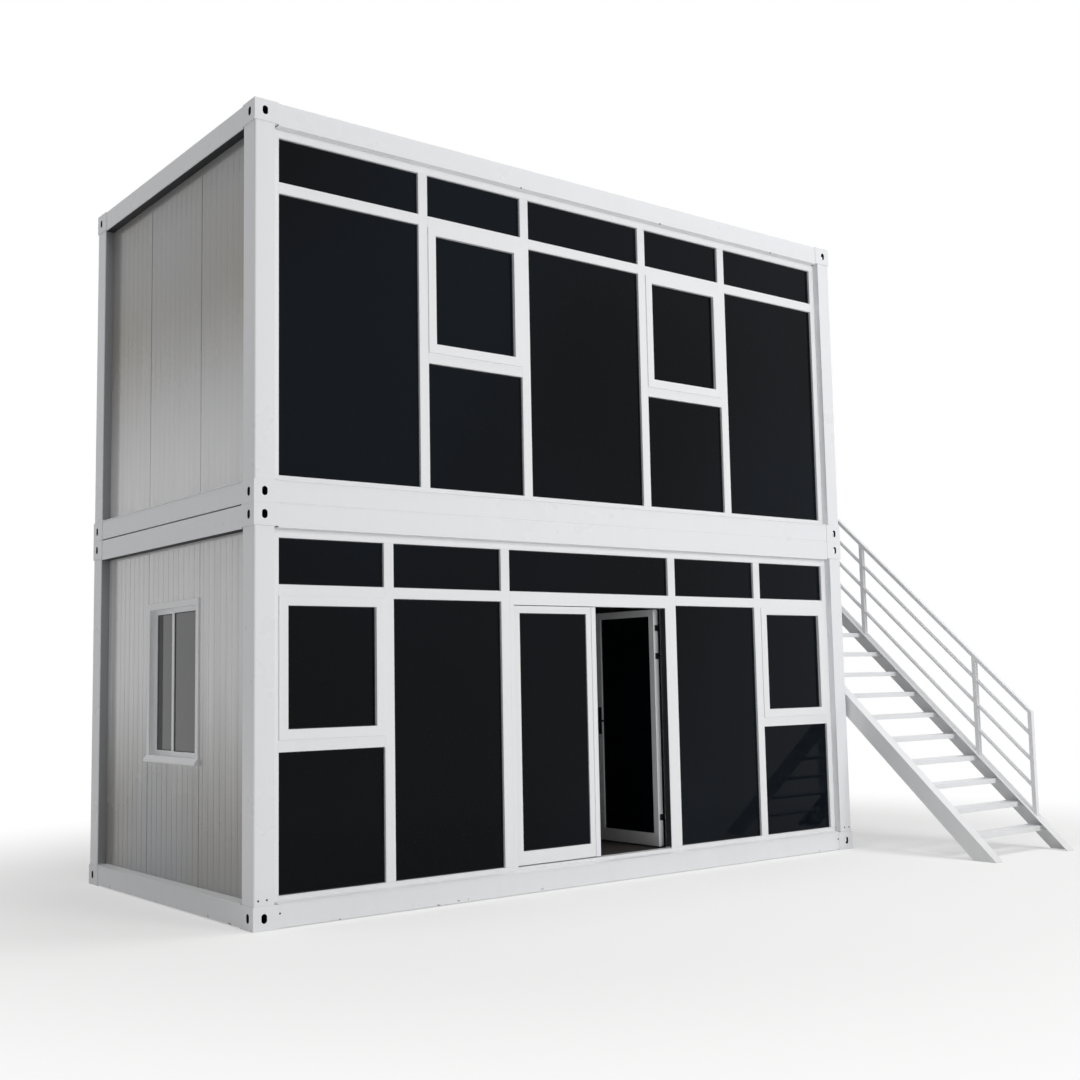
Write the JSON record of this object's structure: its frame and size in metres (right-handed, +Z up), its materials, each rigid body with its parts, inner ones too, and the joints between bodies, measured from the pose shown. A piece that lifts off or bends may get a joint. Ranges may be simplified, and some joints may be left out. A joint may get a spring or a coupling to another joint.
{
  "type": "two-storey container cabin with a glazed front and an outside stair",
  "caption": "Two stacked flat-pack container modules with dark glazed front, double entrance door, grooved panel walls and an outside steel stair.",
  "frame": {"origin": "on the ground, in the middle of the outline of cabin and stair", "axes": "+X along the glazed front to the right as seen from outside, +Y to the back, +Z up"},
  "size_m": [7.15, 4.4732, 5.6],
  "materials": {
    "frame_paint": "gloss white paint, slightly dulled",
    "panel_paint": "semi-gloss light grey coil coating",
    "alloy_white": "white powder coat on aluminium",
    "dark_glass": "dark tinted double glazing",
    "black_metal": "black satin",
    "roof_steel": "light grey coated sheet",
    "floor_board": "matt sheet floor",
    "ceiling_white": "matt white lining",
    "stair_paint": "white paint on folded steel"
  },
  "bodies": {
    "cabin": {"lower_castings": "frame_paint", "lower_rails": "frame_paint", "lower_corner_posts": "frame_paint", "lower_sills": "alloy_white", "lower_floor": "floor_board", "lower_ceiling": "ceiling_white", "lower_left_wall": "panel_paint", "lower_right_wall": "panel_paint", "lower_back_wall": "panel_paint", "lower_mullions": "alloy_white", "lower_transoms": "alloy_white", "lower_sashes": "alloy_white", "lower_glass": "dark_glass", "upper_castings": "frame_paint", "upper_rails": "frame_paint", "upper_corner_posts": "frame_paint", "upper_sills": "alloy_white", "upper_floor": "floor_board", "upper_ceiling": "ceiling_white", "roof_sheet": "roof_steel", "upper_left_wall": "panel_paint", "upper_right_wall": "panel_paint", "upper_back_wall": "panel_paint", "upper_mullions": "alloy_white", "upper_transoms": "alloy_white", "upper_sashes": "alloy_white", "upper_glass": "dark_glass", "left_window_frame": "alloy_white", "left_window_sashes": "alloy_white", "left_window_glass": "dark_glass", "entrance_jambs": "alloy_white", "entrance_hinges": "black_metal", "side_door_frame": "alloy_white", "side_door": "frame_paint", "stair_stringers": "stair_paint", "stair_treads": "stair_paint", "stair_railing": "stair_paint", "landing_frame": "stair_paint", "landing_deck": "stair_paint", "landing_legs": "stair_paint", "landing_railing": "stair_paint"},
    "left_door": {"left_leaf": "alloy_white", "left_leaf_glass": "dark_glass"},
    "right_door": {"right_leaf": "alloy_white", "right_leaf_glass": "dark_glass", "door_handle": "black_metal"}
  },
  "joints": [
    {"name": "left_door_hinge", "type": "hinge", "parent": "cabin", "child": "left_door", "pos_m": [-1.415, -0.61939, 1.174], "axis": [0, 0, 1], "range_deg": [0, 90]},
    {"name": "right_door_hinge", "type": "hinge", "parent": "cabin", "child": "right_door", "pos_m": [0.215, -0.61939, 1.174], "axis": [0, 0, -1], "range_deg": [-90, 0]}
  ]
}
